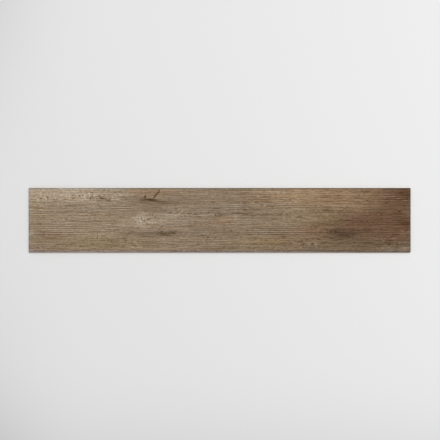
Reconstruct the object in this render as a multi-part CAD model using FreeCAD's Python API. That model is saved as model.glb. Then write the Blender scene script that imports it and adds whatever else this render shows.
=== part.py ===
"""Wood look porcelain plank tile, one fired piece lying on its back with its printed face up.

Millimetres. +X runs along the plank and its grain, +Y across it and +Z up, out of the face.
The origin is the middle of the back, on the plane of the rib feet that meet the mortar bed.
"""

import FreeCAD
import Part

import math
import os

# Outline of the pressed blank
LENGTH = 1200.0
WIDTH = 203.0
THICKNESS = 9.5

# Eased edge round the face: a shallow arc that leaves the face tangent and meets the side at an angle
EASED_WIDTH = 2.0
EASED_DROP = 0.8
FACE_CORNER_RADIUS = 0.8

# Small bevel round the back, where the side leaves the die
BACK_BEVEL = 0.8

# Keys on the back: a lattice of raised ribs round shallow pockets, inside a plain frame.
# The pocket's length and width are the least ones: whole pockets are stretched to fill the frame.
FRAME_WIDTH = 10.0
RIB_WIDTH = 3.0
POCKET_LENGTH = 22.0
POCKET_WIDTH = 22.0
POCKET_DEPTH = 0.6
POCKET_FLANK = 0.7
POCKET_CORNER = 2.5

# How far a cutting shape reaches past the surface that it cuts
CUT_MARGIN = 1.0

UP = FreeCAD.Vector(0, 0, 1)


def outline(length, width, radius):
    """Closed rectangle with round corners, centred on the origin, starting halfway along the -Y side."""
    x, y = length / 2, width / 2
    lean = radius * (1 - math.sqrt(0.5))
    start = FreeCAD.Vector(0, -y, 0)
    edges = []
    here = start
    for sign_x, sign_y in ((1, -1), (1, 1), (-1, 1), (-1, -1)):
        before = FreeCAD.Vector(sign_x * (x - radius), sign_y * y, 0)
        after = FreeCAD.Vector(sign_x * x, sign_y * (y - radius), 0)
        middle = FreeCAD.Vector(sign_x * (x - lean), sign_y * (y - lean), 0)
        if sign_x == sign_y:
            before, after = after, before
        edges.append(Part.LineSegment(here, before).toShape())
        edges.append(Part.Arc(before, middle, after).toShape())
        here = after
    edges.append(Part.LineSegment(here, start).toShape())
    return Part.Wire(edges)


def blank():
    """The pressed blank: the plank's outline, as thick as the plank."""
    corner_radius = FACE_CORNER_RADIUS + EASED_WIDTH
    return Part.Face(outline(LENGTH, WIDTH, corner_radius)).extrude(UP * THICKNESS)


def section_point(inward, height):
    """A point of the edge's section, in the plane that crosses the outline at its start."""
    return FreeCAD.Vector(0, -WIDTH / 2 + inward, height)


def eased_edge_cutter():
    """What the eased edge takes off: its section, swept round the outline."""
    radius = (EASED_WIDTH**2 + EASED_DROP**2) / (2 * EASED_DROP)
    half_turn = math.asin(EASED_WIDTH / radius) / 2
    face_line = section_point(EASED_WIDTH, THICKNESS)
    on_arc = section_point(
        EASED_WIDTH - radius * math.sin(half_turn),
        THICKNESS - radius * (1 - math.cos(half_turn)),
    )
    side_line = section_point(0, THICKNESS - EASED_DROP)
    outside_low = section_point(-CUT_MARGIN, THICKNESS - EASED_DROP)
    outside_high = section_point(-CUT_MARGIN, THICKNESS + CUT_MARGIN)
    inside_high = section_point(EASED_WIDTH, THICKNESS + CUT_MARGIN)
    section = Part.Wire(
        [
            Part.Arc(face_line, on_arc, side_line).toShape(),
            Part.LineSegment(side_line, outside_low).toShape(),
            Part.LineSegment(outside_low, outside_high).toShape(),
            Part.LineSegment(outside_high, inside_high).toShape(),
            Part.LineSegment(inside_high, face_line).toShape(),
        ]
    )
    path = outline(LENGTH, WIDTH, FACE_CORNER_RADIUS + EASED_WIDTH)
    return path.makePipeShell([section], True, True)


def bevel_back(solid):
    """Bevels every edge round the back face."""
    back_edges = [edge for edge in solid.Edges if edge.BoundBox.ZMax < BACK_BEVEL / 2]
    return solid.makeChamfer(BACK_BEVEL, back_edges)


def octagon(length, width, corner, height):
    """Corners of a rectangle with its corners cut off, centred on the origin at the given height."""
    x, y = length / 2, width / 2
    around = [
        (x - corner, -y),
        (x, -y + corner),
        (x, y - corner),
        (x - corner, y),
        (-x + corner, y),
        (-x, y - corner),
        (-x, -y + corner),
        (-x + corner, -y),
    ]
    return [FreeCAD.Vector(across, along, height) for across, along in around]


def flat_face(points):
    """Plane face with straight edges from point to point."""
    return Part.Face(Part.makePolygon(points + points[:1]))


def pocket_cutter(length, width):
    """One pocket between the ribs, with flanks that slope so that the blank leaves the die."""
    spread = POCKET_FLANK / POCKET_DEPTH * CUT_MARGIN
    mouth = octagon(length + 2 * spread, width + 2 * spread, POCKET_CORNER, -CUT_MARGIN)
    floor = octagon(
        length - 2 * POCKET_FLANK, width - 2 * POCKET_FLANK, POCKET_CORNER, POCKET_DEPTH
    )
    flanks = [
        flat_face([mouth[side - 1], mouth[side], floor[side], floor[side - 1]])
        for side in range(len(mouth))
    ]
    return Part.Solid(Part.Shell([flat_face(mouth), flat_face(floor), *flanks]))


def fitted_row(span, least_pocket):
    """Size and middles of the pockets that fill the frame along a span, a rib apart."""
    field = span - 2 * FRAME_WIDTH + RIB_WIDTH
    count = max(1, int(field // (least_pocket + RIB_WIDTH)))
    pitch = field / count
    return pitch - RIB_WIDTH, [(index - (count - 1) / 2) * pitch for index in range(count)]


def key_pattern():
    """All the pockets of the back."""
    length, places_along = fitted_row(LENGTH, POCKET_LENGTH)
    width, places_across = fitted_row(WIDTH, POCKET_WIDTH)
    pocket = pocket_cutter(length, width)
    return Part.Compound(
        [
            pocket.translated(FreeCAD.Vector(x, y, 0))
            for x in places_along
            for y in places_across
        ]
    )


def plank_tile():
    """The whole tile as one solid."""
    pressed = bevel_back(blank().cut(eased_edge_cutter()).removeSplitter())
    return pressed.cut(key_pattern())


os.makedirs("parts", exist_ok=True)
tile = plank_tile()
tile.exportStep("parts/plank_tile.step")
print(f"plank_tile: {len(tile.Solids)} solid, {len(tile.Faces)} faces, valid {tile.isValid()}")
print(f"volume {tile.Volume / 1000:.1f} cm3, box {tile.BoundBox}")
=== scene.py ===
"""Looks of a wood look porcelain plank tile: its printed, embossed face and its bare fired body.

The tile lies on its back with its printed face up, the grain along X and the camera above. Sizes are
in metres, and those in the tables of the print's ovals are in millimetres.
"""

import math
from collections import namedtuple
from functools import partial

import bmesh
import bpy
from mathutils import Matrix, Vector, noise


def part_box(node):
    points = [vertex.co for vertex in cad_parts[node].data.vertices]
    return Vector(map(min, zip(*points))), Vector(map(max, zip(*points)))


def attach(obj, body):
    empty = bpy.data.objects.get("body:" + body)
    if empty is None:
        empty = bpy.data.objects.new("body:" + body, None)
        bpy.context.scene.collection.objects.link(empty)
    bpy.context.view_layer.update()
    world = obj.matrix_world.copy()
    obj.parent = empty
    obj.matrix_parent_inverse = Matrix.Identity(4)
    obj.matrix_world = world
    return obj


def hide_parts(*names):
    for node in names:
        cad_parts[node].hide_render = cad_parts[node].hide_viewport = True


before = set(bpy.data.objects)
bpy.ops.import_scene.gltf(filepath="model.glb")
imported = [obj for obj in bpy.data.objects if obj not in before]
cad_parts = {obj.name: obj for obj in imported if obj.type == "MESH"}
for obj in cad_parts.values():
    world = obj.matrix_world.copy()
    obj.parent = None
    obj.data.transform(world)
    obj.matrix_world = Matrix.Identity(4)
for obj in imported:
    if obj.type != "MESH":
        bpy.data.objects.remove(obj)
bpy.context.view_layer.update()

NODE = "plank_tile"
NEAR = 1e-6
MILLIMETRE = 0.001

# Sizes of the fired blank, measured on its solid
HALF_LENGTH, HALF_WIDTH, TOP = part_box(NODE)[1]
PLACES = [vertex.co.copy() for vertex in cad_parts[NODE].data.vertices]
FACE_PLACES = [place for place in PLACES if place.z > TOP - NEAR]
FACE_HALF_LENGTH = max(place.x for place in FACE_PLACES)
FACE_HALF_WIDTH = max(place.y for place in FACE_PLACES)
FACE_CORNER_RADIUS = FACE_HALF_WIDTH - max(
    place.y for place in FACE_PLACES if place.x > FACE_HALF_LENGTH - NEAR
)
END_HEIGHTS = [place.z for place in PLACES if place.x > HALF_LENGTH - NEAR]
SIDE_TOP = max(END_HEIGHTS)
SIDE_BOTTOM = min(END_HEIGHTS)
EASED_WIDTH = HALF_LENGTH - FACE_HALF_LENGTH
EASED_DROP = TOP - SIDE_TOP

# Mesh of the face: its cells are long with the grain
CELLS_ALONG = 350
CELLS_ACROSS = 230
CORNER_STEPS = 4
EASED_STEPS = 4

# Embossing below the face plane, and the attribute that holds its depth
GRAIN_DEPTH = 0.00014
SWELL_DEPTH = 0.00010
GROOVE = "groove"

# Long swells of the face: length, width and seed
SWELL = (0.24, 0.024, 3.3)

# Pressed fibres: share of the depth, length, width, seed, and where in the noise they start and are full
PRESSED_FIBRES = (
    (0.7, 0.060, 0.0034, 7.1, 0.05, 0.55),
    (0.3, 0.030, 0.0022, 2.3, 0.0, 0.6),
)

# Marks that are also pressed in: their least darkness, their depth and where their flank lies, with the
# mark's rim at 1. They are looked for in columns of this width, in millimetres.
PRESSED = 0.7
PRESSED_DEPTH = 0.8
PRESSED_FLANK = (0.3, 1.3)
COLUMN_WIDTH = 30

# Gap between the strips of the bake's map, and the least slope of a normal that counts as up or down
MAP_GAP = 0.005
FACING = 0.3

# Light of the studio, and how strong the camera sees the world
WORLD_LIGHT = 0.72
WORLD_SEEN = 0.82
LAMP_PLACE = (0.6, 1.1, 4.0)
LAMP_SIZE = 1.6
LAMP_POWER = 54.0

# Floor: its size, its tone as sRGB and its finish
FLOOR_HALF_SIZE = 8.0
FLOOR_TONE = (230, 230, 230)
FLOOR_ROUGHNESS = 0.9
FLOOR_GLOSS = 0.1

# Painted light: the floor is a little paler beside the tile, against the tile's contact shadow, and half
# of that goes with each of these widths
HALO = 0.05
HALO_WIDTH = 0.008

# Painted light and shade on the floor over the picture, whose half-width counts as 1: paler to the right
# and at both ends, and darker past the starts of the shades at the front and at the left
PALER_RIGHT = 0.035
PALER_ENDS = 0.02
FRONT_SHADE_START = 0.60
FRONT_SHADE_WIDTH = 0.42
FRONT_SHADE = 0.085
LEFT_SHADE_START = 0.55
LEFT_SHADE_WIDTH = 0.5
LEFT_SHADE = 0.02
LEFT_CORNER_SHADE = 0.13

# The photograph's framing: straight down through a long lens, the plank a little off the middle
LENS = 85.0
SENSOR = 36.0
FRAME_WIDTH = 1.3821
CAMERA_OFFSET = (0.0011, 0.0010)

# Base colour of the print along the plank, from its left end: place in metres and sRGB colour
BASE_TONES = (
    (-0.60, (152, 134, 113)),
    (-0.35, (153, 135, 114)),
    (-0.10, (143, 125, 106)),
    (0.10, (138, 120, 100)),
    (0.25, (136, 116, 94)),
    (0.36, (126, 104, 82)),
    (0.46, (112, 89, 69)),
    (0.60, (106, 83, 64)),
)

# An oval of the next tables is its centre's x and y, half-length and half-width, in millimetres

# Soft stains of the print, by part of the plank: oval, sRGB colour and strength
STAINS = {
    "left": {
        "straw_corner": (-562, 66, 125, 50, (172, 154, 130), 0.9),
        "silver_top": (-430, 80, 160, 44, (174, 158, 139), 0.95),
        "silver_behind_knot": (-335, 78, 80, 36, (160, 144, 124), 0.85),
        "grey_below_silver": (-452, 39, 140, 20, (139, 122, 104), 0.7),
        "mauve_low_left": (-526, -50, 60, 14, (136, 113, 94), 0.7),
        "rose_corner": (-565, -85, 80, 16, (141, 119, 103), 0.7),
        "ochre_low_left": (-370, -72, 160, 26, (137, 118, 91), 0.8),
        "pale_middle_left": (-400, -3, 150, 12, (156, 138, 118), 0.75),
        "pale_left_row": (-325, -8, 65, 10, (160, 141, 120), 0.6),
        "pale_ochre": (-365, -53, 45, 8, (150, 130, 105), 0.5),
        "umber_low_left": (-318, -70, 22, 16, (124, 104, 80), 0.4),
        "pale_beside_left_knot": (-331, 68, 18, 10, (160, 144, 126), 0.6),
        "pale_left_end": (-591, -30, 13, 28, (151, 135, 116), 0.6),
        "shade_in_left_lines": (-457, -20, 22, 8, (136, 117, 100), 0.5),
        "shade_under_silver": (-457, 45, 22, 9, (137, 120, 102), 0.5),
    },
    "middle": {
        "brown_over_crack": (-215, 89, 75, 15, (141, 116, 91), 0.8),
        "shadow_of_crack": (-195, 58, 60, 13, (107, 88, 66), 0.6),
        "shade_below_crack": (-212, 38, 42, 18, (125, 108, 89), 0.7),
        "shade_low_middle": (-50, -38, 50, 16, (125, 108, 89), 0.85),
        "pale_knot": (-246, 2, 34, 24, (168, 152, 135), 0.9),
        "pale_beside_knot": (-165, 8, 80, 17, (154, 139, 120), 0.75),
        "shadow_left_of_streak": (-232, -43, 80, 11, (122, 105, 86), 0.6),
        "dark_streak": (-165, -41, 60, 9, (108, 91, 72), 0.7),
        "grey_middle": (-10, 34, 180, 30, (139, 123, 105), 0.6),
        "slate_middle": (-5, 33, 40, 9, (125, 114, 99), 0.45),
        "orange_spot": (19, -1, 40, 12, (151, 123, 95), 0.6),
        "grey_beside_orange": (78, 1, 45, 13, (144, 129, 111), 0.6),
        "olive_low_middle": (60, -73, 140, 22, (140, 122, 97), 0.6),
        "shade_left_of_crack": (-285, 52, 45, 22, (134, 117, 98), 0.6),
        "pale_middle": (60, 11, 35, 12, (148, 132, 113), 0.55),
        "pale_upper_middle": (110, 49, 75, 7, (148, 130, 111), 0.6),
        "pale_over_slate": (-12, 58, 20, 14, (145, 127, 107), 0.6),
        "shade_over_knot": (-250, 67, 36, 11, (122, 103, 84), 0.65),
        "shade_beside_crack": (-128, 69, 85, 11, (127, 108, 87), 0.7),
        "pale_right_of_slate": (22, 40, 55, 12, (146, 131, 112), 0.6),
        "pale_left_of_slate": (-15, 46, 18, 10, (147, 131, 113), 0.5),
        "pale_low_middle": (46, -64, 20, 9, (150, 132, 110), 0.5),
        "umber_low_middle": (-222, -76, 36, 16, (128, 110, 89), 0.6),
        "shade_front_middle": (-5, -88, 35, 8, (122, 104, 84), 0.6),
        "shade_beside_pale": (-127, 1, 30, 10, (136, 121, 102), 0.55),
        "shade_lines_left": (-300, -42, 22, 9, (126, 109, 87), 0.55),
    },
    "right": {
        "orange_low": (160, -64, 80, 11, (142, 119, 88), 0.75),
        "pink_low": (192, -52, 28, 7, (132, 103, 85), 0.8),
        "grey_upper_right": (225, 18, 90, 40, (143, 125, 102), 0.6),
        "tan_top": (245, 78, 180, 36, (157, 133, 107), 0.85),
        "tan_top_right": (390, 74, 130, 36, (146, 119, 91), 0.8),
        "russet_right": (300, -33, 65, 22, (129, 103, 80), 0.7),
        "russet_band": (470, -8, 130, 40, (110, 82, 61), 0.8),
        "smudge": (382, -40, 48, 17, (90, 71, 51), 0.88),
        "dark_end": (575, 20, 70, 90, (108, 80, 58), 0.75),
        "red_end_spot": (585, -8, 24, 12, (86, 55, 32), 0.8),
        "dark_corner": (594, 85, 38, 32, (93, 64, 43), 0.8),
        "olive_low_right": (490, -82, 170, 22, (113, 95, 72), 0.8),
        "grey_low_right": (385, -76, 60, 12, (119, 101, 79), 0.6),
        "shade_right_lines": (182, -38, 50, 17, (124, 105, 84), 0.65),
        "pale_tan_top": (268, 80, 45, 18, (164, 140, 113), 0.65),
        "shade_top_right": (442, 91, 42, 10, (123, 99, 77), 0.65),
        "pale_right_band": (425, 36, 55, 14, (142, 117, 92), 0.6),
        "olive_right": (345, 2, 42, 20, (122, 103, 76), 0.7),
        "olive_upper_right": (305, 28, 75, 20, (142, 121, 95), 0.6),
        "pale_back_right": (155, 90, 62, 9, (156, 136, 115), 0.55),
        "pale_grey_right": (165, 45, 50, 11, (148, 130, 111), 0.55),
        "pale_top_right": (423, 66, 26, 10, (152, 127, 104), 0.55),
        "pale_low_right": (440, -64, 45, 9, (122, 102, 79), 0.6),
        "pale_front_right": (545, -88, 55, 10, (128, 111, 95), 0.6),
        "mauve_front_right": (300, -90, 40, 8, (102, 87, 77), 0.55),
        "pale_right_end": (588, 24, 13, 11, (121, 99, 78), 0.5),
    },
}

# Fields of even, straight lines: oval and strength. The lines lie on whole multiples of the spacing,
# or halfway between where the strength is below 0.
LINE_SPACING = 0.00625
COMBS = (
    (-490, -30, 100, 22, 0.34), (-375, -28, 45, 18, -0.3), (-565, 25, 40, 8, -0.3),
    (-430, 45, 70, 10, 0.2), (-300, 38, 28, 10, 0.3), (-225, -44, 45, 10, 0.26),
    (-150, 62, 70, 24, -0.14), (45, 42, 40, 12, -0.34), (140, -31, 50, 12, 0.24),
    (215, -34, 62, 19, 0.46), (240, 46, 70, 12, -0.16), (350, 10, 80, 30, 0.12),
    (550, 70, 60, 16, -0.18),
)

# Drawn marks of the print, by place: oval, darkness, which is below 0 for a pale mark, and the turn in
# degrees of a mark that is turned
Mark = namedtuple("Mark", "x y half_length half_width darkness turn", defaults=[0])
MARKS = {
    "left_end": (
        (-562.5, 69, 5.5, 2.4, 1.4), (-540, 70.5, 4, 3, 1.2, -20), (-540, 66.5, 5, 1.8, -0.28),
        (-521, 65, 11, 1.6, 0.75), (-555, 56, 13, 1.4, 0.56), (-517, 59, 11, 1.4, 0.75),
        (-572, 38, 5, 2, 0.42), (-565, 28, 26, 1.4, 0.35), (-565, 22, 28, 1.5, 0.49),
        (-565, -10, 8, 2.5, 0.6), (-510, -38, 50, 1.4, 0.35), (-515, -41, 50, 1.2, -0.21),
        (-530, -44, 40, 1.4, 0.35), (-488, -76, 28, 1.5, 0.5), (-478, 20, 13, 1.3, -0.28),
        (-478, -16, 13, 1.3, -0.28), (-568, 65, 5, 1.8, -0.5), (-547.4, 69, 3, 2.2, -0.5),
        (-534, 69, 4, 2, -0.4), (-540, 64.5, 3, 1.6, 0.6), (-522.5, 69, 5, 2, -0.4),
    ),
    "silver_flecks": (
        (-484, 66, 8, 1.5, 0.9), (-476, 47, 14, 1.4, 0.49), (-461, 68, 7, 2.2, 0.7, 20),
        (-440, 77, 3, 3, 1.3), (-430, 78, 3, 2, 1), (-405, 68, 2.2, 4.5, 0.75),
        (-398.5, 80, 1.8, 8, 0.62), (-394.5, 80, 1.8, 7, -0.4), (-402, 88, 8, 1.7, 0.63),
        (-380, 47, 6, 1.7, 0.56), (-461.5, 78.5, 3, 2.4, 0.9), (-479.5, 79, 2.2, 7, -0.35),
        (-476, 79, 1.8, 6, 0.4), (-472.5, 79, 2.2, 7, -0.4), (-419, 73, 7, 2.4, -0.35, 20),
        (-394, 63, 8, 2, -0.35),
    ),
    "left_knot": (
        (-377.5, 74.5, 6, 3, 0.65, -45), (-367.5, 69, 9, 2.6, 1.15, -20), (-351, 64, 5, 2, 0.95, -20),
        (-345, 67, 2, 3.6, 0.75), (-356.5, 67, 2.4, 2, 0.2), (-379.5, 81, 2.4, 6, 0.1),
        (-362, 79, 2, 7, 0.1), (-371, 79, 5, 4, -0.12), (-353, 79, 3.4, 3, -0.12),
        (-352.5, 68.5, 3.4, 1.8, -0.28), (-345, 59.5, 9, 1.7, 0.53), (-371, 60, 9, 1.7, 0.35),
    ),
    "flecks_beside_knot": (
        (-336, 72, 2.6, 2, -0.55), (-328, 71, 3, 1.5, 0.15), (-333, 65.5, 3, 1.5, -0.21),
        (-321, 65.5, 4, 1.6, -0.4), (-315, 78, 2.4, 1.8, -0.42), (-316, 84, 2.6, 2, -0.28),
        (-300, 88, 6, 1.6, -0.28), (-330, 87.5, 4, 1.8, 0.56), (-300, 72, 13, 1.6, 0.35),
        (-300, 44, 10, 1.6, 0.4), (-297, 41, 16, 1.3, -0.28), (-300, 38, 13, 1.6, 0.25),
        (-308, 34, 14, 1.3, -0.28),
    ),
    "crack": (
        (-234, 74.6, 5.6, 3, 1.3, 80), (-243, 69, 9, 1.8, 0.35), (-213, 68.4, 7, 1.8, 0.4),
        (-227, 65.6, 15, 2, 1.25), (-206, 65.3, 6, 1.8, 0.6), (-217.5, 64, 8.5, 3.2, 1.35),
        (-237, 61.4, 14, 2.6, 0.5), (-204, 61.4, 14, 3.2, 0.8, -6), (-180, 59.3, 20, 1.7, 0.85),
        (-204.3, 74.8, 7.5, 2.2, 1.25, 58), (-198.2, 81.2, 3.8, 2.4, 1.5, 40),
        (-193.3, 87.4, 4.2, 2.2, 1.75, 5), (-189.5, 93.5, 4.6, 2.2, 1, 80), (-196, 68.5, 5, 2.4, -0.25),
        (-165, 81, 26, 1.4, 0.3), (-130, 84, 7, 1.6, 0.35), (-120, 78.5, 9, 1.6, 0.42),
    ),
    "pale_knot": (
        (-258, 12, 2.6, 2, -0.45), (-251, 9.4, 1.8, 4.2, -0.45, 25), (-254.5, 12.5, 1.8, 1.8, 0.8),
        (-241.5, 10.5, 1.8, 4, -0.45, 20), (-239.5, 4.5, 1.8, 4, -0.5), (-245.8, 7, 1.5, 3.2, 0.5, 20),
        (-252.5, -0.5, 2, 3.4, -0.45), (-248.3, -4.5, 2, 3.6, -0.48), (-244.5, 2.5, 1.5, 4, 0.6),
        (-254.5, 4.5, 1.5, 3.4, 0.55, 25), (-258.8, -4.5, 2.2, 3.8, -0.52),
        (-255.3, -10, 1.8, 2.2, -0.42, -20), (-253.2, -6.4, 1.4, 2.6, 0.6, -15),
        (-251, -10, 1.4, 2.6, 0.5, -20), (-244.8, -10, 2, 2.4, -0.42), (-248, -13.4, 3, 1.8, -0.4, -25),
        (-240.5, -12.6, 2.4, 1.8, 0.45), (-237, -2.5, 4, 4, 0.65), (-223, 3.2, 7, 2, 1.2, 15),
        (-234, 7.5, 5, 2.6, -0.2, 20), (-214.5, -2.5, 2.2, 2, 0.25), (-219, -6.5, 7, 1.6, -0.65, -50),
        (-211.5, -8.5, 5, 1.6, -0.7, -50), (-204, -5.5, 6, 1.5, -0.25, -50),
        (-225.5, -9.5, 6, 1.5, 0.45, -50), (-227.5, -13.5, 4, 1.8, 0.25), (-202, 10, 4, 2.4, 0.45),
        (-210.8, 17.5, 2.4, 4.4, 0.5), (-220, 18.5, 3, 2, 0.35), (-235, 28, 2.8, 2, 0.75),
        (-263, 25, 12, 1.5, 0.3), (-256, -23, 3.4, 3, 0.42), (-262, 6.2, 16, 1.4, -0.3),
        (-215.5, -8, 6, 1.4, 0.45, -50), (-223, -6, 6, 1.4, -0.4, -50), (-207.5, -9.5, 5, 1.4, 0.35, -50),
    ),
    "long_lines": (
        (-150, 94.5, 90, 4, -0.28), (325, 97.6, 90, 1.6, 0.45), (290, 94, 60, 1.5, -0.35),
        (300, -94.2, 300, 1.8, 0.4), (-413, 44.2, 56, 1.4, -0.45), (-412, 40.8, 56, 1.4, 0.5),
        (118, 47, 115, 1.5, -0.42), (58, 56.2, 58, 1.5, 0.32), (175, 84, 58, 1.5, -0.42),
        (147, 75, 30, 1.5, 0.6), (232, 34.2, 56, 1.6, -0.55), (414, 15.8, 56, 1.5, -0.4),
        (296, -1.5, 56, 2.4, -0.38), (294, -9.2, 56, 1.5, 0.48), (472, -56.1, 58, 1.5, -0.5),
        (-472, -56, 58, 1.5, -0.38), (-30, -37.6, 28, 1.4, -0.5), (88, -41, 28, 1.4, -0.45),
        (30, -78, 30, 1.5, 0.55), (-92, 62.2, 85, 1.6, 0.36), (-354, 81, 56, 1.5, 0.36),
        (-265, 78, 28, 1.5, 0.4), (-148, 12.3, 28, 1.5, -0.5), (-560, -46.8, 28, 1.4, -0.5),
        (-560, -37.8, 28, 1.4, 0.5), (560, -84.3, 28, 1.5, 0.4), (530, -68.9, 56, 1.5, 0.28),
        (-384, -12.6, 28, 1.4, 0.45), (-384, -18.8, 28, 1.4, -0.38), (384, 56, 28, 3, -0.35),
        (384, -12.6, 28, 1.4, -0.45), (383, -19, 28, 1.4, 0.4), (-560, 49.8, 28, 1.4, 0.42),
        (-560, 43.8, 28, 1.4, -0.3), (-236, 6.2, 58, 1.4, -0.38), (-148, -68.8, 88, 1.5, -0.36),
    ),
    "soft_clouds": (
        (-590, 90, 12, 10, -0.18), (-590, -32, 12, 24, -0.18), (-590, -88, 12, 10, -0.13),
        (-425, 68, 22, 9, -0.14), (-331, 68, 20, 10, -0.24), (-17, 56, 18, 14, -0.14),
        (-205, 33, 22, 13, 0.16), (-265, 23, 18, 8, 0.13), (-485, 23, 22, 9, 0.13),
        (-365, -87, 20, 8, 0.13), (-305, -64, 20, 8, -0.12), (45, 12, 20, 16, -0.11),
        (157, 45, 34, 9, -0.14), (170, 90, 60, 9, -0.16), (298, 45, 16, 9, 0.13),
        (425, -64, 22, 8, -0.13), (455, 90, 20, 8, 0.14), (580, -43, 20, 10, -0.18),
        (586, -90, 17, 10, -0.55), (-255, 93, 30, 5, -0.16), (490, -92.5, 100, 5, -0.26),
        (-253, -92, 25, 5, 0.15),
    ),
    "braid": (
        (-155, 23, 4.6, 3, 0.9), (-138.5, 21.5, 4, 2.4, 0.52), (-134, 31, 3.6, 2, 0.15),
        (-174, 31, 8, 1.8, 0.59), (-135, 37, 5, 1.5, 0.7), (-114, 22, 4, 2, 0.6), (-98, 22, 9, 1.8, 0.6),
        (-110, 17, 3, 2, 0.42), (-128, 35.3, 4, 1.5, -0.6, 25), (-112, 35.5, 4, 1.5, -0.6, -30),
        (-118, 30, 4, 1.6, -0.62, 40), (-142, 28.5, 3, 1.5, -0.55, -30), (-132, 24, 3, 1.5, 0.45, 40),
        (-138, 18.3, 4, 1.6, -0.5, 20), (-126, 19.5, 4, 1.6, -0.6, -30), (-118, 15.5, 5, 1.6, -0.6, -25),
        (-108, 19, 4, 1.5, -0.6, 20), (-152, 19, 4, 1.5, -0.36, 20), (-75, 19, 8, 2, 0.8),
        (-66, 10, 7, 2.2, 0.65),
    ),
    "dark_streak": (
        (-190, -28.3, 8, 1.7, 0.7), (-181, -34, 7, 2, 0.9), (-140, -31.4, 28, 1.4, 0.5),
        (-172, -40.6, 16, 1.7, 0.75), (-144, -40.5, 8, 3.2, 0.85), (-165, -46.9, 22, 1.6, 0.85),
        (-155, -36, 8, 2.6, 0.35), (-108, -43, 7, 1.8, 0.6), (-54, -47, 7, 2, 0.5),
        (-92, -19, 8, 2.6, 0.42), (-162, -12.5, 7, 1.6, 0.55), (-181, -18, 4, 4, 0.3),
        (-225, -50.4, 30, 1.5, 0.45), (-225, -42, 26, 1.5, 0.2),
    ),
    "low_left_lines": (
        (-384, -40.5, 1.8, 5, 0.32), (-384, -56, 2, 4.6, 0.5), (-387.5, -50, 1.6, 10, -0.22),
        (-380.3, -48, 1.6, 11, -0.31), (-376.5, -36, 3.2, 2.4, 0.7), (-318, -31, 7, 1.7, 0.5),
        (-320, -34.5, 7, 1.3, -0.31), (-308, -28, 9, 1.3, -0.31), (-292, -29, 4, 1.3, -0.28),
        (-277, -37, 5, 1.6, 0.6), (-286, -41, 5, 1.7, 0.55), (-248, -43, 8, 2.4, 0.42),
        (-338, -59.3, 9, 1.7, 0.4), (-310, -57, 3, 2, 0.42), (-295, -54, 5, 2, 0.42),
        (-365.5, -62.2, 6, 1.8, 1.3), (-350, -62.2, 3.6, 1.7, 1), (-296, -62.5, 6, 1.8, 1),
        (-356, -76, 8, 1.8, 0.45), (-376.5, -44.8, 3.4, 1.5, -0.45), (-376.5, -48, 3.4, 1.4, 0.35),
        (-376.5, -51.2, 3.4, 1.5, -0.45), (-378, -59, 20, 1.4, -0.3),
    ),
    "low_left_curls": (
        (-311, -65.3, 3, 1.5, -0.6), (-310, -68.5, 3, 1.6, 0.4), (-296, -69, 5, 1.6, 0.85),
        (-340, -66, 4, 2, 0.5), (-340, -85, 3, 2, 0.56), (-304, -81, 5, 1.6, 0.64),
        (-290, -78, 3, 2, -0.75), (-284, -77, 2, 3, -0.31), (-284, -65, 2, 2, -0.28),
        (-277, -69, 4, 1.6, 0.53), (-271, -66, 4, 1.5, -0.36), (-270, -76, 2, 3, 0.3),
        (-262, -72, 2.4, 3, -0.5), (-265, -81, 4, 2, 0.59), (-255, -77, 4, 2.2, -0.5),
        (-272, -84.5, 2.4, 1.8, -0.36), (-264.5, -85, 2, 1.6, -0.36), (-256, -85, 4.4, 1.6, -0.42),
        (-245, -81, 3, 1.6, -0.5), (-165, -73, 3, 2.4, 0.45), (-153, -71.5, 5, 1.6, -0.28, 20),
        (-147, -78, 7, 1.6, 0.7), (-134, -81, 4, 2, 0.45), (-128, -69, 6, 1.8, 0.45),
        (-125, -72.5, 6, 1.4, -0.28, -10), (-68, -75, 8, 1.6, 0.95),
    ),
    "middle": (
        (-34.5, 24.5, 4.5, 3.4, 0.6), (-13, 17, 3, 4.5, 0.85), (-3, 24, 7, 2.2, 0.59),
        (3, 18, 10, 3.2, 0.63), (-2, 13, 7, 2, 0.42), (-9, 37.8, 17, 2, 0.59), (-20, 56.3, 9, 1.7, 0.9),
        (-9, 79, 3, 3, 0.5), (50, 8, 4, 3, -0.35), (52, 50, 12, 1.6, -0.36), (52, 44, 12, 1.4, -0.28),
        (60, 22, 45, 1.5, 0.7), (52, 22, 20, 1.4, 0.5), (96, 25, 9, 2, 0.45), (115, 16.3, 48, 1.4, 0.5),
        (80, 34.5, 6, 2, 0.75), (82, 30, 5, 2, 0.5), (82, 37, 7, 1.3, -0.28), (82, -22, 9, 1.5, -0.5),
        (82, -18.8, 9, 1.3, 0.4), (37, -32.5, 4, 3, 0.78), (31, -25, 3, 2, 0.5), (22, -40, 14, 1.6, 0.45),
        (-37, -53, 4, 3, 0.75), (-35, -44.5, 3, 2.4, -0.31), (-4, -78, 5, 2, 0.1),
        (-10, -96.5, 5, 2, 0.56), (-12, -63, 10, 1.6, -0.28), (-20, -71, 5, 2, -0.28),
        (29, -70, 4, 3, -0.28), (38, -85, 20, 1.6, 0.45),
    ),
    "right_of_middle": (
        (98, -43.3, 14, 1.6, 0.75), (52, -47, 12, 1.6, 0.59), (90, -56, 4, 1.6, 0.59),
        (92, -37.5, 14, 1.4, 0.35), (88, -31, 12, 1.5, 0.7), (152, -38, 12, 1.5, 0.5),
        (128, -25, 11, 1.4, 0.45), (78, 54, 5, 2, 0.5), (115, 57, 5, 3, 0.95), (128, 61, 18, 1.8, 0.15),
        (150, 56, 26, 2, 0.6), (105, 75, 8, 1.6, 0.65), (140, 81, 25, 1.5, 0.35),
        (107, 91.5, 6, 1.5, -0.35), (160, 91, 12, 1.4, -0.5), (172, 95, 14, 1.4, 0.42),
        (143, 47, 4, 2.4, -0.8), (160, 43.5, 16, 1.7, 0.6), (170, 38, 16, 1.6, 0.36),
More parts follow.
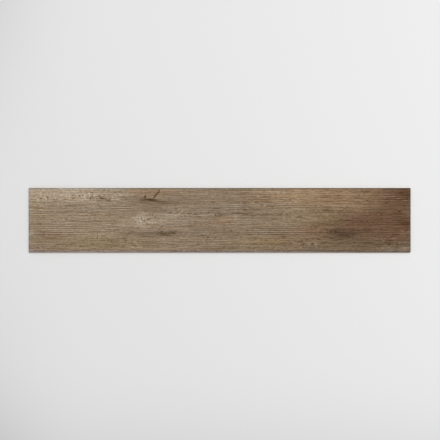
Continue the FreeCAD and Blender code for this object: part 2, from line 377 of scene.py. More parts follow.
        (172, 34, 12, 1.6, -0.5), (88, -85, 22, 1.8, 0.45), (108, -88, 3, 3, 0.5),
        (112, -67, 5, 1.8, -0.25), (111, -72, 5, 1.3, 0.45), (144, -62, 6, 1.8, 0.5),
        (120, -85, 7, 1.6, 0.55), (172, -84, 4, 2, 0.59), (166, -72, 14, 1.4, 0.6),
        (168, -75.3, 4, 1.5, -0.6),
    ),
    "upper_right": (
        (191, 19.3, 5, 2.6, 0.6), (200, 26, 9, 2, 0.7), (249, 9.6, 15, 1.8, 0.9), (262, 13, 5, 1.4, -0.4),
        (240, 13, 10, 1.2, -0.21), (214, -12.5, 2.4, 2, 0.59), (303, 59.5, 8, 1.5, 0.6),
        (330, 72.3, 11, 1.5, 0.6), (330, 68.8, 11, 1.3, -0.36), (303, 33.5, 8, 1.7, 0.5),
        (303, 37.5, 5, 1.6, -0.31), (334, 33, 20, 2.4, 0.5), (353, 47, 12, 2, -0.26),
        (376, 78, 12, 1.6, 0.53), (379, 56, 10, 1.6, 0.36), (380, 31, 12, 1.6, 0.36),
        (377, 19, 10, 1.6, 0.5), (379, 3.5, 10, 2.4, 0.45), (401, 0, 11, 1.6, 0.8),
        (365, 6.5, 10, 1.8, 0.36), (464, 63, 3, 2, 1), (465, 94, 25, 1.4, -0.28),
    ),
    "low_right_whorls": (
        (200, -52, 8, 3, 0.5), (188, -43.5, 12, 1.7, 0.45), (200, -72, 14, 1.4, 0.8),
        (218, -65, 4, 1.6, 0.5), (224, -72, 4, 2, 1.1), (236, -65, 6, 1.5, 0.4), (256, -65.5, 11, 1.7, 1),
        (246, -70, 3, 3, 0.45), (226, -88, 6, 1.6, -0.28), (255, -84, 3, 2, -0.6),
        (263, -84.5, 4, 1.5, 0.45), (263, -75, 5, 3.6, 0.95), (280, -75, 3.5, 7, -0.28),
        (291, -74, 5, 4, 0.75), (303, -75, 3, 6, -0.21), (305, -84, 6, 1.6, -0.7), (273, -59, 5, 2, 0.6),
        (311, -59.5, 6, 1.8, 0.95), (278, -15, 5, 2.4, -0.4), (287, -24, 3, 2.4, 0.45),
        (290, -32, 3, 2, 0.6), (302, -19, 12, 1.5, 0.45), (310, -30, 4, 3, -0.22), (316, -38, 4, 3, 0.42),
        (331, -68.5, 8, 1.4, 0.45), (325, -74, 9, 1.4, 0.45), (338, -76, 3, 2.4, -0.28),
    ),
    "smudge": (
        (349, -34, 4, 3, 0.72), (364, -33.8, 4, 2.2, 0.4), (386, -44.5, 11, 3, 0.45),
        (401, -46.5, 7, 2, 0.65), (408, -52, 6, 1.8, 0.85), (383, -37, 4, 2.4, -0.7),
        (394, -44, 5, 1.4, -0.28), (352, -56, 8, 2.4, 0.5), (379, -60, 12, 1.4, 0.28),
        (380, -64.5, 12, 1.2, -0.22), (379, -69, 12, 1.4, 0.6), (373, -33, 9, 3, -0.45),
        (394, -36, 8, 2.6, -0.35), (420, -46.5, 6, 2.2, 0.6), (403, -43.8, 5, 1.3, -0.35),
    ),
    "right_end": (
        (525, 54, 6, 2, 0.8), (545, 74.8, 8, 1.5, -1), (565, 27, 6, 3, 0.9, -20),
        (584, -10.5, 17, 4.4, 0.3), (554, -44, 12, 1.5, 1.3), (440, -62, 15, 1.5, 1),
        (424, -69, 6, 2, 1.1), (460, -69, 22, 1.3, 0.6), (535, -62.2, 9, 1.8, 1.5),
        (533, -76, 7, 3.6, 1, 40), (515, -65, 4, 2, -1), (543.5, -56.6, 7, 1.8, -1),
        (564.5, -70.8, 5, 2, -0.8), (495, -87, 5, 1.6, -0.8), (512, -87, 4, 1.6, -0.8),
        (570, 85, 10, 1.8, 0.7), (556, 71.8, 16, 1.3, 0.6), (560, 68.7, 13, 1.3, -0.8),
        (550, 65.6, 45, 1.4, 0.45), (583, 62.6, 9, 1.4, -1), (542, 62, 5, 1.6, -0.6),
        (528, 81.2, 10, 1.3, -0.6), (578, 47.1, 12, 1.5, 0.55), (553, -12.5, 6, 1.8, 0.6),
        (588.5, -31, 6, 2, 0.7), (576, -33.5, 7, 1.8, -0.8), (582, -37, 6, 1.7, 0.6),
        (562, -40.3, 20, 1.3, -0.6), (528, -50, 7, 1.5, -0.6), (543, -50.2, 5, 1.4, 0.6),
        (538, -53.1, 6, 1.4, 0.6), (521, -62, 5, 1.6, 0.8), (520, -68.6, 12, 1.5, 0.7),
        (544, -71.7, 5, 1.5, -0.6), (556.5, -74.1, 6, 1.8, 0.7), (583, -68.6, 7, 1.4, -0.6),
        (554.5, -84, 5, 1.5, 0.6), (549, -78.5, 6, 2.4, -0.45),
    ),
}

# Knots that the grain bends round: oval, and how far the grain is pushed aside in millimetres
KNOTS = (
    (-365, 70, 45, 20, 6), (-238, 0, 60, 28, 10), (-215, 68, 60, 20, 6), (-51.9, 22.5, 35, 16, 6),
    (19, 0, 70, 22, 6), (291.5, -74, 35, 16, 6), (384, -38, 90, 26, 8), (-163, -42, 70, 16, 5),
)

# Areas of curly, flecked figure: oval and strength
CURLS = (
    (-500, 78, 160, 30, 0.9), (-350, 72, 90, 30, 1), (-265, -70, 70, 20, 0.8),
    (-350, -56, 50, 14, 0.7), (-440, -74, 80, 16, 0.6), (-120, 22, 70, 16, 0.8),
    (-30, 24, 70, 16, 0.6), (-10, -72, 60, 18, 0.6), (540, -76, 70, 20, 0.9),
    (-550, -75, 60, 26, 0.6),
)

# What is left of an oval's strength at its rim, and how steeply a stain falls off past it
STAIN_RIM = 0.35
COMB_RIM = 0.4
MARK_RIM = 0.25
KNOT_RIM = 0.35
CURL_RIM = 0.35
STAIN_FALL = 1.5

# How the ovals' outlines are broken up: seed, reach along and across, and the breaks' length and width
STAIN_BREAKS = (5, (0.030, 0.003), 0.090, 0.007)
MARK_BREAKS = (9, (0.0022, 0.0007), 0.014, 0.005)
CURL_BREAKS = (2, (0.006, 0.004), 0.012, 0.009)

# Layers of streaks: strength, seed, length, width and detail
WANDER = (0.002, 11, 0.50, 0.080, 1.0)
TONE_WANDER = (0.08, 3, 0.25, 0.012, 3.0)
RAGGED_STAINS = (0.30, 6, 0.050, 0.006, 3.0)
WAVY_LINES = (0.5, 18, 0.100, 0.020, 1.0)
BROAD_STREAKS = ((0.14, 1, 0.400, 0.030, 1.0), (0.13, 2, 0.160, 0.012, 1.0))
FINE_STREAKS = (
    (0.50, 4, 0.260, 0.0030, 0.0),
    (0.36, 6, 0.032, 0.0030, 0.0),
    (0.38, 16, 0.009, 0.0030, 0.0),
    (0.30, 17, 0.045, 0.0014, 1.0),
)
UNEVEN_CONTRAST = (0.5, 20, 0.150, 0.024, 1.0)
HUE_STREAKS = (0.8, 12, 0.090, 0.0090, 3.0)
GLAZE_BUMP = (0.00003, 14, 0.009, 0.0007, 2.0)

# Flecks of the curly figure: seed, length, width and detail
CURLY_FLECKS = (9, 0.0070, 0.0046, 1.0)

# How much stronger the fine streaks are at the right, and where that starts and is full
STRONGER_RIGHT = 0.26
STRONGER_FROM = (-0.20, 0.50)

# Share of the curls in the figure's lightness
CURL_STRENGTH = 0.45

# Darkness of the plain print and of a full groove, and the darkness below which pale streaks grow
# slower, and how much slower
PLAIN_DARKNESS = 0.050
GROOVE_DARKNESS = 0.10
PALE_START = -0.12
PALE_GROWTH = 0.65

# What the darkest ink leaves of the ground's red, green and blue light
INK = (0.368, 0.317, 0.249)

# Tints of the ground's hue streaks, as sRGB, and the share of the cool one between the streaks
WARM_TINT = (255, 247, 234)
COOL_TINT = (249, 252, 255)
COOL_SHARE = 0.55

# Light that the glaze itself throws back over the print, taken off the colours as seen
HAZE = (0.008, 0.008, 0.008)

# Least red, green and blue of the print
DARKEST = (0.058, 0.023, 0.003)

# Bands along the edges, which paint shade and light into the print: where each starts and is full, and
# its tint of the print. The band on the eased edge is painted shade, greyer and darkest at the back. The
# bands at the two ends, the front and the back are painted light, mostly paler and bluer.
EASED_BAND = (-2.2 * EASED_WIDTH, -0.6 * EASED_WIDTH)
BACK_PART = (0.090, 0.100)
LEFT_BAND = (-FACE_HALF_LENGTH + 0.009, -FACE_HALF_LENGTH)
RIGHT_BAND = (0.5895, 0.5965)
FRONT_BAND = (-0.0905, -0.0985)
FRONT_BAND_ALONG = (-0.40, 0.50)
BACK_BAND = (0.0945, 0.0985)
BACK_BAND_ALONG = (-0.20, -0.56)
EASED_SHADE_FRONT = (0.80, 0.92, 1.12, 1.0)
EASED_SHADE_BACK = (0.52, 0.57, 0.63, 1.0)
LEFT_EDGE_LIGHT = (1.02, 1.11, 1.24, 1.0)
RIGHT_EDGE_LIGHT = (1.03, 1.13, 1.30, 1.0)
FRONT_EDGE_SHADING_LEFT = (0.93, 0.97, 1.14, 1.0)
FRONT_EDGE_SHADING_RIGHT = (1.02, 1.12, 1.36, 1.0)
BACK_EDGE_LIGHT = (1.25, 1.32, 1.46, 1.0)

# Roughness and gloss of the glaze, and what the figure's lightness adds to its roughness
GLAZE_ROUGHNESS = 0.56
FIGURE_ROUGHNESS = 0.10
GLAZE_GLOSS = 0.2

# Colours of the bare body, as sRGB, and its roughness
BODY_PALE = (206, 194, 175)
BODY_DEEP = (184, 169, 149)
BODY_SPECK = (122, 98, 76)
OVERSPRAY = (116, 98, 80)
KILN_WASH = (226, 222, 213)
BODY_ROUGHNESS = 0.78

# Layers of spots in the body: strength, size and detail
BODY_MOTTLE = ((0.9, 0.035, 2.0), (0.5, 0.003, 2.0))
BODY_BUMP = ((0.00004, 0.0009, 3.0), (0.00006, 0.006, 2.0))
ROUGHNESS_SPOTS = (0.10, 0.01, 2.0)
UNEVEN_SPRAY = (0.0012, 0.004, 3.0)

# Dark specks and patches of kiln wash: size and detail, and the noise where they start and are full
SPECKS = (0.0011, 0.0)
SPECK_EDGE = (0.55, 0.7)
WASH_PATCHES = (0.02, 4.0)
WASH_EDGE = (-0.25, 0.25)

# Heights on the tile where the kiln wash and the glaze sprayed over the sides start and are full
WASH_HEIGHT = (0.00030, 0.00008)
SPRAY_HEIGHT = (SIDE_TOP - 0.0022, SIDE_TOP - 0.0002)


class Value:
    """An output socket of a material's nodes. Arithmetic on one adds Math nodes."""

    def __init__(self, socket):
        self.socket = socket

    def math(self, operation, *values):
        inputs = dict(enumerate(values))
        return node(self.socket.id_data, "ShaderNodeMath", {"operation": operation}, inputs)

    def __add__(self, other):
        return self.math("ADD", self, other)

    def __radd__(self, other):
        return self.math("ADD", other, self)

    def __sub__(self, other):
        return self.math("SUBTRACT", self, other)

    def __rsub__(self, other):
        return self.math("SUBTRACT", other, self)

    def __mul__(self, other):
        return self.math("MULTIPLY", self, other)

    def __rmul__(self, other):
        return self.math("MULTIPLY", other, self)

    def __truediv__(self, other):
        return self.math("DIVIDE", self, other)

    def __pow__(self, other):
        return self.math("POWER", self, other)

    def __rpow__(self, other):
        return self.math("POWER", other, self)


def node(tree, kind, settings, inputs, output=0):
    """Adds one node with its settings and then its inputs, and returns one of its outputs."""
    made = tree.nodes.new(kind)
    for name, setting in settings.items():
        setattr(made, name, setting)
    for name, given in inputs.items():
        if isinstance(given, Value):
            tree.links.new(given.socket, made.inputs[name])
        else:
            made.inputs[name].default_value = given
    return Value(made.outputs[output])


def grouped(name, draw, *given):
    """What draw makes of the given values, inside a node group of its own."""
    group = bpy.data.node_groups.new(name, "ShaderNodeTree")
    entry = group.nodes.new("NodeGroupInput")
    for value in given:
        kind = type(value.socket).__name__
        group.interface.new_socket("Given", in_out="INPUT", socket_type=kind)
    drawn = draw(*[Value(socket) for socket in entry.outputs[: len(given)]])
    kind = type(drawn.socket).__name__
    group.interface.new_socket("Drawn", in_out="OUTPUT", socket_type=kind)
    group.links.new(drawn.socket, group.nodes.new("NodeGroupOutput").inputs[0])
    tree = given[0].socket.id_data
    return node(tree, "ShaderNodeGroup", {"node_tree": group}, dict(enumerate(given)))


def mixed(factor, first, second, blend="MIX"):
    """The first colour mixed with the second by the factor."""
    tree = factor.socket.id_data
    settings = {"data_type": "RGBA", "blend_type": blend}
    return node(tree, "ShaderNodeMix", settings, {0: factor, 6: first, 7: second}, 2)


def stepped(value, low, high):
    """0 below low, 1 above high and a smooth rise between them."""
    inputs = {"Value": value, "From Min": low, "From Max": high}
    tree = value.socket.id_data
    return node(tree, "ShaderNodeMapRange", {"interpolation_type": "SMOOTHSTEP"}, inputs)


def vector_math(operation, *vectors, output=0):
    """The result of a Vector Math node."""
    first = next(vector for vector in vectors if isinstance(vector, Value))
    inputs = dict(enumerate(vectors))
    return node(first.socket.id_data, "ShaderNodeVectorMath", {"operation": operation}, inputs, output)


def dot(first, second):
    """The dot product of two vectors."""
    return vector_math("DOT_PRODUCT", first, second, output=1)


def split(vector):
    """The three parts of a vector."""
    tree = vector.socket.id_data
    parts = tree.nodes.new("ShaderNodeSeparateXYZ")
    tree.links.new(vector.socket, parts.inputs[0])
    return [Value(output) for output in parts.outputs]


def in_oval(place, x, y, half_length, half_width):
    """The place in an oval's own frame: its centre at 0 and its rim at 1."""
    across = (1 / (half_length * MILLIMETRE), 1 / (half_width * MILLIMETRE), 0.0)
    start = (-x / half_length, -y / half_width, 0.0)
    return vector_math("MULTIPLY_ADD", place, across, start)


def squared_distance(place, *oval):
    """Square of how far the place is from an oval's centre, with the rim at 1."""
    inside = in_oval(place, *oval)
    return dot(inside, inside)


def turned(place, turn):
    """The place turned back about the origin by this many degrees."""
    inputs = {"Vector": place, "Angle": math.radians(-turn)}
    return node(place.socket.id_data, "ShaderNodeVectorRotate", {"rotation_type": "Z_AXIS"}, inputs)


def turned_point(x, y, turn):
    """The same turn for a plain pair of numbers."""
    angle = math.radians(-turn)
    return (x * math.cos(angle) - y * math.sin(angle), x * math.sin(angle) + y * math.cos(angle))


def linear(red, green, blue):
    """A colour given as sRGB numbers up to 255, as the shader wants it."""
    shares = (red / 255, green / 255, blue / 255)
    return (*(((share + 0.055) / 1.055) ** 2.4 for share in shares), 1.0)


def spots(place, size, detail):
    """Even noise with spots about this size, from -1 to 1."""
    inputs = {"Vector": place, "Scale": 1 / size, "Detail": detail}
    return 2 * node(place.socket.id_data, "ShaderNodeTexNoise", {}, inputs) - 1


def stretched(place, seed, length, width):
    """The place in units of this length and width, moved to the seed's own part of the noise."""
    return vector_math("MULTIPLY_ADD", place, (1 / length, 1 / width, 0.0), (seed, -seed, seed))


def grain(place, seed, length, width, detail):
    """Streaks about as long and wide as given, from about -1 to 1."""
    return spots(stretched(place, seed, length, width), 1.0, detail)


def layered(pattern, place, *layers):
    """The sum of these layers of a pattern, each of them its strength and then its other values."""
    total = 0.0
    for strength, *values in layers:
        total = total + strength * pattern(place, *values)
    return total


def broken_up(place, seed, reach, length, width):
    """The place moved a little by streaky noise, so that what is drawn there has uneven outlines."""
    inputs = {"Vector": stretched(place, seed, length, width), "Scale": 1.0, "Detail": 2.0}
    cloud = node(place.socket.id_data, "ShaderNodeTexNoise", {}, inputs, "Color")
    along, across = reach
    move = vector_math("MULTIPLY_ADD", cloud, (2 * along, 2 * across, 0.0), (-along, -across, 0.0))
    return vector_math("ADD", place, move)


def clamped(value, limit):
    """The value, held between minus the limit and the limit."""
    return max(-limit, min(limit, value))


def outward_from_core(place, reach):
    """The point that lies this far outside the face's outline, straight out from the given one."""
    core_x = clamped(place.x, FACE_HALF_LENGTH - FACE_CORNER_RADIUS)
    core_y = clamped(place.y, FACE_HALF_WIDTH - FACE_CORNER_RADIUS)
    core = Vector((core_x, core_y))
    return core + (place.xy - core).normalized() * (FACE_CORNER_RADIUS + reach)


def face_grid():
    """The face inside its eased edge, with rounded corners."""
    shape = bmesh.new()
    bmesh.ops.create_grid(shape, x_segments=CELLS_ALONG, y_segments=CELLS_ACROSS, size=1.0)
    bmesh.ops.scale(shape, vec=(FACE_HALF_LENGTH, FACE_HALF_WIDTH, 1.0), verts=shape.verts)
    bmesh.ops.translate(shape, vec=(0.0, 0.0, TOP), verts=shape.verts)
    bmesh.ops.bevel(
        shape,
        geom=[vertex for vertex in shape.verts if len(vertex.link_edges) == 2],
        offset=FACE_CORNER_RADIUS,
        offset_type="OFFSET",
        affect="VERTICES",
        segments=CORNER_STEPS,
        profile=0.5,
        material=-1,
    )
    return shape


def add_ring(shape, reach, height):
    """Carries the open rim on to a ring this far outside the face's outline, at this height."""
    rim = [edge for edge in shape.edges if edge.is_boundary]
    made = bmesh.ops.extrude_edge_only(shape, edges=rim)["geom"]
    for vertex in made:
        if isinstance(vertex, bmesh.types.BMVert):
            vertex.co.xy = outward_from_core(vertex.co, reach)
            vertex.co.z = height


def add_eased_edge(shape):
    """Rings down the arc from the face to the top of the side."""
    radius = (EASED_WIDTH**2 + EASED_DROP**2) / (2 * EASED_DROP)
    whole_turn = math.asin(EASED_WIDTH / radius)
    for step in range(1, EASED_STEPS + 1):
        turn = whole_turn * step / EASED_STEPS
        add_ring(shape, radius * math.sin(turn), TOP - radius * (1 - math.cos(turn)))


def is_in_pocket(face):
    """Whether a face of the solid is a pocket's floor or flank."""
    low, high = NEAR, SIDE_BOTTOM - NEAR
    return low < max(vertex.co.z for vertex in face.verts) < high and all(
        abs(vertex.co.x) < HALF_LENGTH - SIDE_BOTTOM - NEAR
        and abs(vertex.co.y) < HALF_WIDTH - SIDE_BOTTOM - NEAR
        for vertex in face.verts
    )


def add_back(shape):
    """Closes the back with the key pockets of the solid and the ribs between them."""
    keyed = bmesh.new()
    keyed.from_mesh(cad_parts[NODE].data)
    bmesh.ops.remove_doubles(keyed, verts=keyed.verts, dist=NEAR)
    others = [face for face in keyed.faces if not is_in_pocket(face)]
    bmesh.ops.delete(keyed, geom=others, context="FACES")
    pockets = bpy.data.meshes.new("pockets")
    keyed.to_mesh(pockets)
    keyed.free()
    shape.from_mesh(pockets)
    bpy.data.meshes.remove(pockets)
    rims = [edge for edge in shape.edges if edge.is_boundary]
    bmesh.ops.triangle_fill(
        shape, use_beauty=True, use_dissolve=False, edges=rims, normal=(0.0, 0.0, -1.0)
    )


def smooth(value, low, high):
    """0 below low, 1 above high and a smooth rise between them, for plain numbers."""
    share = max(0.0, min(1.0, (value - low) / (high - low)))
    return share * share * (3 - 2 * share)


def streaky(point, length, width, seed):
    """Streaks about as long and wide as given, for a point of the mesh."""
    return noise.noise(Vector((point.x / length, point.y / width, seed)))


def pressed_marks():
    """The marks dark enough to be pressed into the face, by the columns of the plank they reach."""
    columns = {}
    for mark in (Mark(*row) for rows in MARKS.values() for row in rows):
        if mark.darkness >= PRESSED:
            middle = round(mark.x / COLUMN_WIDTH)
            for column in (middle - 1, middle, middle + 1):
                columns.setdefault(column, []).append(mark)
    return columns


def distance_from(mark, x, y):
    """How far a point, in millimetres, lies from a mark's centre, with the mark's rim at 1."""
    along, across = turned_point(x - mark.x, y - mark.y, mark.turn)
    return math.hypot(along / mark.half_length, across / mark.half_width)


def groove_share(point, columns):
    """How deep the embossing is at a point of the face, from 0 to 1: fibres and dark marks."""
    share = 0.0
    for depth, length, width, seed, start, full in PRESSED_FIBRES:
        share += depth * smooth(streaky(point, length, width, seed), start, full)
    x, y = point.x / MILLIMETRE, point.y / MILLIMETRE
    for mark in columns.get(round(x / COLUMN_WIDTH), ()):
        flank = smooth(distance_from(mark, x, y), *PRESSED_FLANK)
        share = max(share, PRESSED_DEPTH * mark.darkness * (1 - flank))
    return share


def emboss(shape):
    """Presses the grain into the face, fading out down the eased edge."""
    layer = shape.verts.layers.float.new(GROOVE)
    columns = pressed_marks()
    depth_at = {}
    for vertex in shape.verts:
        if vertex.co.z > SIDE_TOP + NEAR:
            vertex[layer] = groove_share(vertex.co, columns)
            swell = 0.5 - 0.5 * streaky(vertex.co, *SWELL)
            depth = GRAIN_DEPTH * vertex[layer] + SWELL_DEPTH * swell
            depth_at[vertex] = smooth(vertex.co.z, SIDE_TOP, TOP) * depth
    least = min(depth for vertex, depth in depth_at.items() if vertex.co.z > TOP - NEAR)
    for vertex, depth in depth_at.items():
        vertex.co.z -= max(0.0, depth - least)


def lay_out(shape):
    """Map for the bake: the face in two strips, then the back at half scale and the sides in rows."""
    layer = shape.loops.layers.uv.new("OFBake")
    scale = (1 - 2 * MAP_GAP) / HALF_LENGTH
    strip = 2 * HALF_WIDTH * scale
    back_base = 3 * MAP_GAP + 2 * strip
    rows_base = back_base + strip / 2 + MAP_GAP
    row = TOP * scale + MAP_GAP
    for face in shape.faces:
        right = face.calc_center_median().x > 0
        for loop in face.loops:
            x, y, z = loop.vert.co
            u = MAP_GAP + (x + (0 if right else HALF_LENGTH)) * scale
            if face.normal.z > FACING:
                v = MAP_GAP + (y + HALF_WIDTH) * scale + (strip + MAP_GAP if right else 0)
            elif face.normal.z < -FACING:
                u = MAP_GAP + (HALF_LENGTH - x) * scale / 2
                v = back_base + (y + HALF_WIDTH) * scale / 2
            elif abs(face.normal.y) > abs(face.normal.x):
                number = (2 if face.normal.y > 0 else 0) + right
                v = rows_base + number * row + z * scale
            else:
                u = MAP_GAP + (y + HALF_WIDTH) * scale + (strip + MAP_GAP if right else 0)
                v = rows_base + 4 * row + z * scale
            loop[layer].uv = (u, v)


def placed(name, shape, *materials):
    """The object made of a finished shape and its materials, in the scene."""
    mesh = bpy.data.meshes.new(name)
    shape.to_mesh(mesh)
    shape.free()
    for material in materials:
        mesh.materials.append(material)
    made = bpy.data.objects.new(name, mesh)
    bpy.context.scene.collection.objects.link(made)
    return made


def fired_plank():
    """The whole tile as one closed mesh."""
    shape = face_grid()
    add_eased_edge(shape)
    emboss(shape)
    add_ring(shape, EASED_WIDTH, SIDE_BOTTOM)
    add_ring(shape, EASED_WIDTH - SIDE_BOTTOM, 0.0)
    add_back(shape)
    bmesh.ops.recalc_face_normals(shape, faces=shape.faces)
    lay_out(shape)
    for face in shape.faces:
        printed = min(vertex.co.z for vertex in face.verts) > SIDE_TOP - NEAR
        face.material_index = 0 if printed else 1
        face.smooth = printed
    for edge in shape.edges:
        edge.smooth = all(face.smooth for face in edge.link_faces)
    return placed("fired_plank", shape, printed_glaze(), bare_body())


def new_material(name):
    """An empty material, and the place on the object that its patterns use."""
    material = bpy.data.materials.new(name)
    material.use_nodes = True
    tree = material.node_tree
    tree.nodes.clear()
    return material, node(tree, "ShaderNodeTexCoord", {}, {}, "Object")


def finish_material(place, inputs, height):
    """Adds the shader with these inputs, and a bump of this height in metres."""
    tree = place.socket.id_data
    bump = node(tree, "ShaderNodeBump", {}, {"Strength": 1.0, "Distance": 1.0, "Height": height})
    shader = node(tree, "ShaderNodeBsdfPrincipled", {}, {**inputs, "Normal": bump})
    surface = tree.nodes.new("ShaderNodeOutputMaterial").inputs["Surface"]
    tree.links.new(shader.socket, surface)


def bent_round_knots(place):
    """The place moved across the grain, so that streaks wander and swing round the knots."""
    bend = layered(grain, place, WANDER)
    for *oval, push in KNOTS:
        inside = in_oval(place, *oval)
        nearness = KNOT_RIM ** dot(inside, inside)
        bend = bend - nearness * dot(inside, (0.0, 1.0, 0.0)) * (push * MILLIMETRE)
    move = node(place.socket.id_data, "ShaderNodeCombineXYZ", {}, {1: bend})
    return vector_math("ADD", place, move)


def base_tone(place):
    """The print's ground colour, which goes from silvery beige to red brown along the plank."""
    along = dot(place, (1.0, 0.0, 0.0)) + layered(grain, place, TONE_WANDER)
    colour = linear(*BASE_TONES[0][1])
    for (start, first), (end, second) in zip(BASE_TONES, BASE_TONES[1:]):
        colour = mixed(stepped(along, start, end), colour, linear(*second))
    return colour


def soaked(stains, place, ragged, colour):
    """The colour with these stains laid over it."""
    for *oval, tone, strength in stains:
        distance = squared_distance(place, *oval) + ragged
        colour = mixed(strength * STAIN_RIM ** distance**STAIN_FALL, colour, linear(*tone))
    return colour


def stained(place, colour):
    """The colour with every stain laid over it."""
    drawn = broken_up(place, *STAIN_BREAKS)
    ragged = layered(grain, place, RAGGED_STAINS)
    for part, stains in STAINS.items():
        colour = grouped(part + "_stains", partial(soaked, stains.values()), drawn, ragged, colour)
    return colour


def drawn_marks(marks, place):
    """How much these marks darken the print."""
    ink = 0.0
    for turn in sorted({mark.turn for mark in marks}):
        turned_place = turned(place, turn)
        for mark in marks:
            if mark.turn == turn:
                centre = turned_point(mark.x, mark.y, turn)
                distance = squared_distance(turned_place, *centre, mark.half_length, mark.half_width)
                share = MARK_RIM ** distance
                ink = share.math("MULTIPLY_ADD", share, mark.darkness, ink)
    return ink


def inked(place):
    """How much all the drawn marks darken the print."""
    drawn = broken_up(place, *MARK_BREAKS)
    ink = 0.0
    for name, rows in MARKS.items():
        marks = [Mark(*row) for row in rows]
        ink = ink + grouped(name, partial(drawn_marks, marks), drawn)
    return ink


def combed(place):
    """Lightness of the fields of even lines, around 0."""
    nearby = 0.0
    for *oval, strength in COMBS:
        distance = squared_distance(place, *oval)
        share = COMB_RIM ** (distance * distance)
        nearby = share.math("MULTIPLY_ADD", share, strength, nearby)
    phase = dot(place, (0.0, 2 * math.pi / LINE_SPACING, 0.0)) + layered(grain, place, WAVY_LINES)
    return 0.0 - nearby * phase.math("COSINE", phase)


def streaks(place, bent):
    """Lightness of the long streaks of the grain, around 0."""
    fine = layered(grain, bent, *FINE_STREAKS) + grouped("combed", combed, place)
    contrast = 1.0 + layered(grain, bent, UNEVEN_CONTRAST)
    contrast = contrast + STRONGER_RIGHT * stepped(dot(place, (1.0, 0.0, 0.0)), *STRONGER_FROM)
    return layered(grain, bent, *BROAD_STREAKS) + contrast * fine


def curls(place):
    """Lightness of the curly, flecked figure, around 0."""
    share = 0.0
    for *oval, strength in CURLS:
        distance = squared_distance(place, *oval)
        share = share + strength * CURL_RIM ** (distance * distance)
    return share * grain(broken_up(place, *CURL_BREAKS), *CURLY_FLECKS)


def outward(place):
    """How far the place lies outside the plank's outline, which is below 0 on the face."""
    x, y, z = split(vector_math("ABSOLUTE", place))
    return x.math("MAXIMUM", x - HALF_LENGTH, y - HALF_WIDTH)


def thinned(place, colour):
    """The colour with painted shade on the eased edge, which is greyer, and darker at the back, and
    painted light in bands along the ends, the front and the back.
    """
    x, y, z = split(place)
    eased = mixed(stepped(y, *BACK_PART), EASED_SHADE_FRONT, EASED_SHADE_BACK)
    front = mixed(stepped(x, *FRONT_BAND_ALONG), FRONT_EDGE_SHADING_LEFT, FRONT_EDGE_SHADING_RIGHT)
    bands = (
        (stepped(outward(place), *EASED_BAND), eased),
        (stepped(x, *LEFT_BAND), LEFT_EDGE_LIGHT),
        (stepped(x, *RIGHT_BAND), RIGHT_EDGE_LIGHT),
        (stepped(y, *FRONT_BAND), front),
        (stepped(y, *BACK_BAND) * stepped(x, *BACK_BAND_ALONG), BACK_EDGE_LIGHT),
    )
    for share, tint in bands:
        colour = mixed(share, colour, tint, "MULTIPLY")
    return colour


def printed_glaze():
    """The matt glaze of the face with its wood print, and of the eased edge round it."""
    material, place = new_material("printed_glaze")
    figure = streaks(place, bent_round_knots(place)) + CURL_STRENGTH * curls(place)
    groove = node(material.node_tree, "ShaderNodeAttribute", {"attribute_name": GROOVE}, {}, "Fac")
    darkness = PLAIN_DARKNESS + GROOVE_DARKNESS * groove + inked(place) - figure
    held_back = PALE_START + PALE_GROWTH * (darkness - PALE_START)
    darkness = darkness.math("MAXIMUM", darkness, held_back)
    cool = COOL_SHARE + layered(grain, place, HUE_STREAKS)
    tint = mixed(cool, linear(*WARM_TINT), linear(*COOL_TINT))
    ground = vector_math("MULTIPLY", stained(place, base_tone(place)), tint)
    colour = vector_math("MULTIPLY", ground, vector_math("POWER", INK, darkness))
    # Painted shade and light along the edges, then the glaze's own haze taken off
    colour = vector_math("SUBTRACT", thinned(place, colour), HAZE)
    inputs = {
        "Base Color": vector_math("MAXIMUM", colour, DARKEST),
        "Roughness": GLAZE_ROUGHNESS + FIGURE_ROUGHNESS * figure,
        "Specular IOR Level": GLAZE_GLOSS,
    }
    finish_material(place, inputs, layered(grain, place, GLAZE_BUMP))
    return material


def bare_body():
    """The bare fired body of the sides and the back."""
    material, place = new_material("bare_body")
    z = split(place)[2]
    mottle = 0.5 + layered(spots, place, *BODY_MOTTLE)
    colour = mixed(mottle, linear(*BODY_DEEP), linear(*BODY_PALE))
    specks = stepped(spots(place, *SPECKS), *SPECK_EDGE)
    colour = mixed(specks, colour, linear(*BODY_SPECK))
    wash = stepped(z, *WASH_HEIGHT) * stepped(spots(place, *WASH_PATCHES), *WASH_EDGE)
    colour = mixed(wash, colour, linear(*KILN_WASH))
    sprayed = stepped(z + layered(spots, place, UNEVEN_SPRAY), *SPRAY_HEIGHT)
    colour = mixed(sprayed, colour, linear(*OVERSPRAY))
    roughness = BODY_ROUGHNESS + layered(spots, place, ROUGHNESS_SPOTS)
    inputs = {"Base Color": colour, "Roughness": roughness}
    finish_material(place, inputs, layered(spots, place, *BODY_BUMP))
    return material


def floor_light(place):
    """How light the floor is painted at a place: painted shade towards the picture's corners, painted
    light beside the tile.
    """
    framed = vector_math("MULTIPLY", place, (2 / FRAME_WIDTH, 2 / FRAME_WIDTH, 0.0))
    framed = vector_math("MINIMUM", framed, (1.0, 1.0, 1.0))
    x, y, z = split(vector_math("MAXIMUM", framed, (-1.0, -1.0, -1.0)))
    left = x.math("MINIMUM", x + LEFT_SHADE_START, 0.0) / LEFT_SHADE_WIDTH
    front = y.math("MINIMUM", y + FRONT_SHADE_START, 0.0) / FRONT_SHADE_WIDTH
    light = 1 + PALER_RIGHT * x + PALER_ENDS * x * x - FRONT_SHADE * front * front
    light = light - left * left * (LEFT_SHADE + LEFT_CORNER_SHADE * y * y)
    beside = outward(place)
    return light + HALO * 0.5 ** (beside.math("MAXIMUM", beside, 0.0) / HALO_WIDTH)


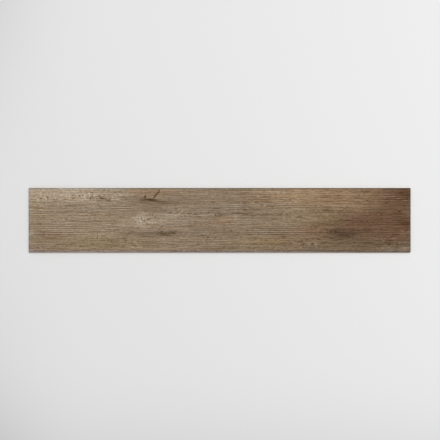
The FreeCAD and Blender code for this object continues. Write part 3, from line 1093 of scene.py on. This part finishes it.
def pale_floor():
    """A wide pale floor under the tile."""
    material, place = new_material("pale_floor")
    inputs = {0: linear(*FLOOR_TONE)[:3], "Scale": floor_light(place)}
    colour = node(material.node_tree, "ShaderNodeVectorMath", {"operation": "SCALE"}, inputs)
    inputs = {"Base Color": colour, "Roughness": FLOOR_ROUGHNESS, "Specular IOR Level": FLOOR_GLOSS}
    finish_material(place, inputs, 0.0)
    shape = bmesh.new()
    bmesh.ops.create_grid(shape, x_segments=1, y_segments=1, size=FLOOR_HALF_SIZE)
    floor = placed("floor", shape, material)


def soft_light():
    """A plain pale world and one wide lamp beyond the plank, to the right."""
    world = bpy.data.worlds.new("studio")
    bpy.context.scene.world = world
    world.use_nodes = True
    tree = world.node_tree
    tree.nodes.clear()
    seen = node(tree, "ShaderNodeLightPath", {}, {}, "Is Camera Ray")
    lit, shown = (
        node(tree, "ShaderNodeBackground", {}, {"Color": (1, 1, 1, 1), "Strength": strength})
        for strength in (WORLD_LIGHT, WORLD_SEEN)
    )
    both = node(tree, "ShaderNodeMixShader", {}, {0: seen, 1: lit, 2: shown})
    tree.links.new(both.socket, tree.nodes.new("ShaderNodeOutputWorld").inputs["Surface"])
    lamp = bpy.data.lights.new("lamp", "AREA")
    lamp.shape = "DISK"
    lamp.size = LAMP_SIZE
    lamp.energy = LAMP_POWER
    holder = bpy.data.objects.new("lamp", lamp)
    bpy.context.scene.collection.objects.link(holder)
    holder.location = LAMP_PLACE
    holder.rotation_euler = (-Vector(LAMP_PLACE)).to_track_quat("-Z", "Y").to_euler()


def camera_above():
    """The photograph's view: straight down on the face."""
    camera = bpy.data.cameras.new("camera")
    camera.lens = LENS
    camera.sensor_width = SENSOR
    camera.dof.use_dof = False
    holder = bpy.data.objects.new("camera", camera)
    bpy.context.scene.collection.objects.link(holder)
    holder.location = (*CAMERA_OFFSET, TOP + FRAME_WIDTH * LENS / SENSOR)
    bpy.context.scene.camera = holder


piece = fired_plank()
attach(piece, "root")
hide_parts(NODE)
pale_floor()
soft_light()
camera_above()
bpy.context.scene.view_settings.view_transform = "Standard"
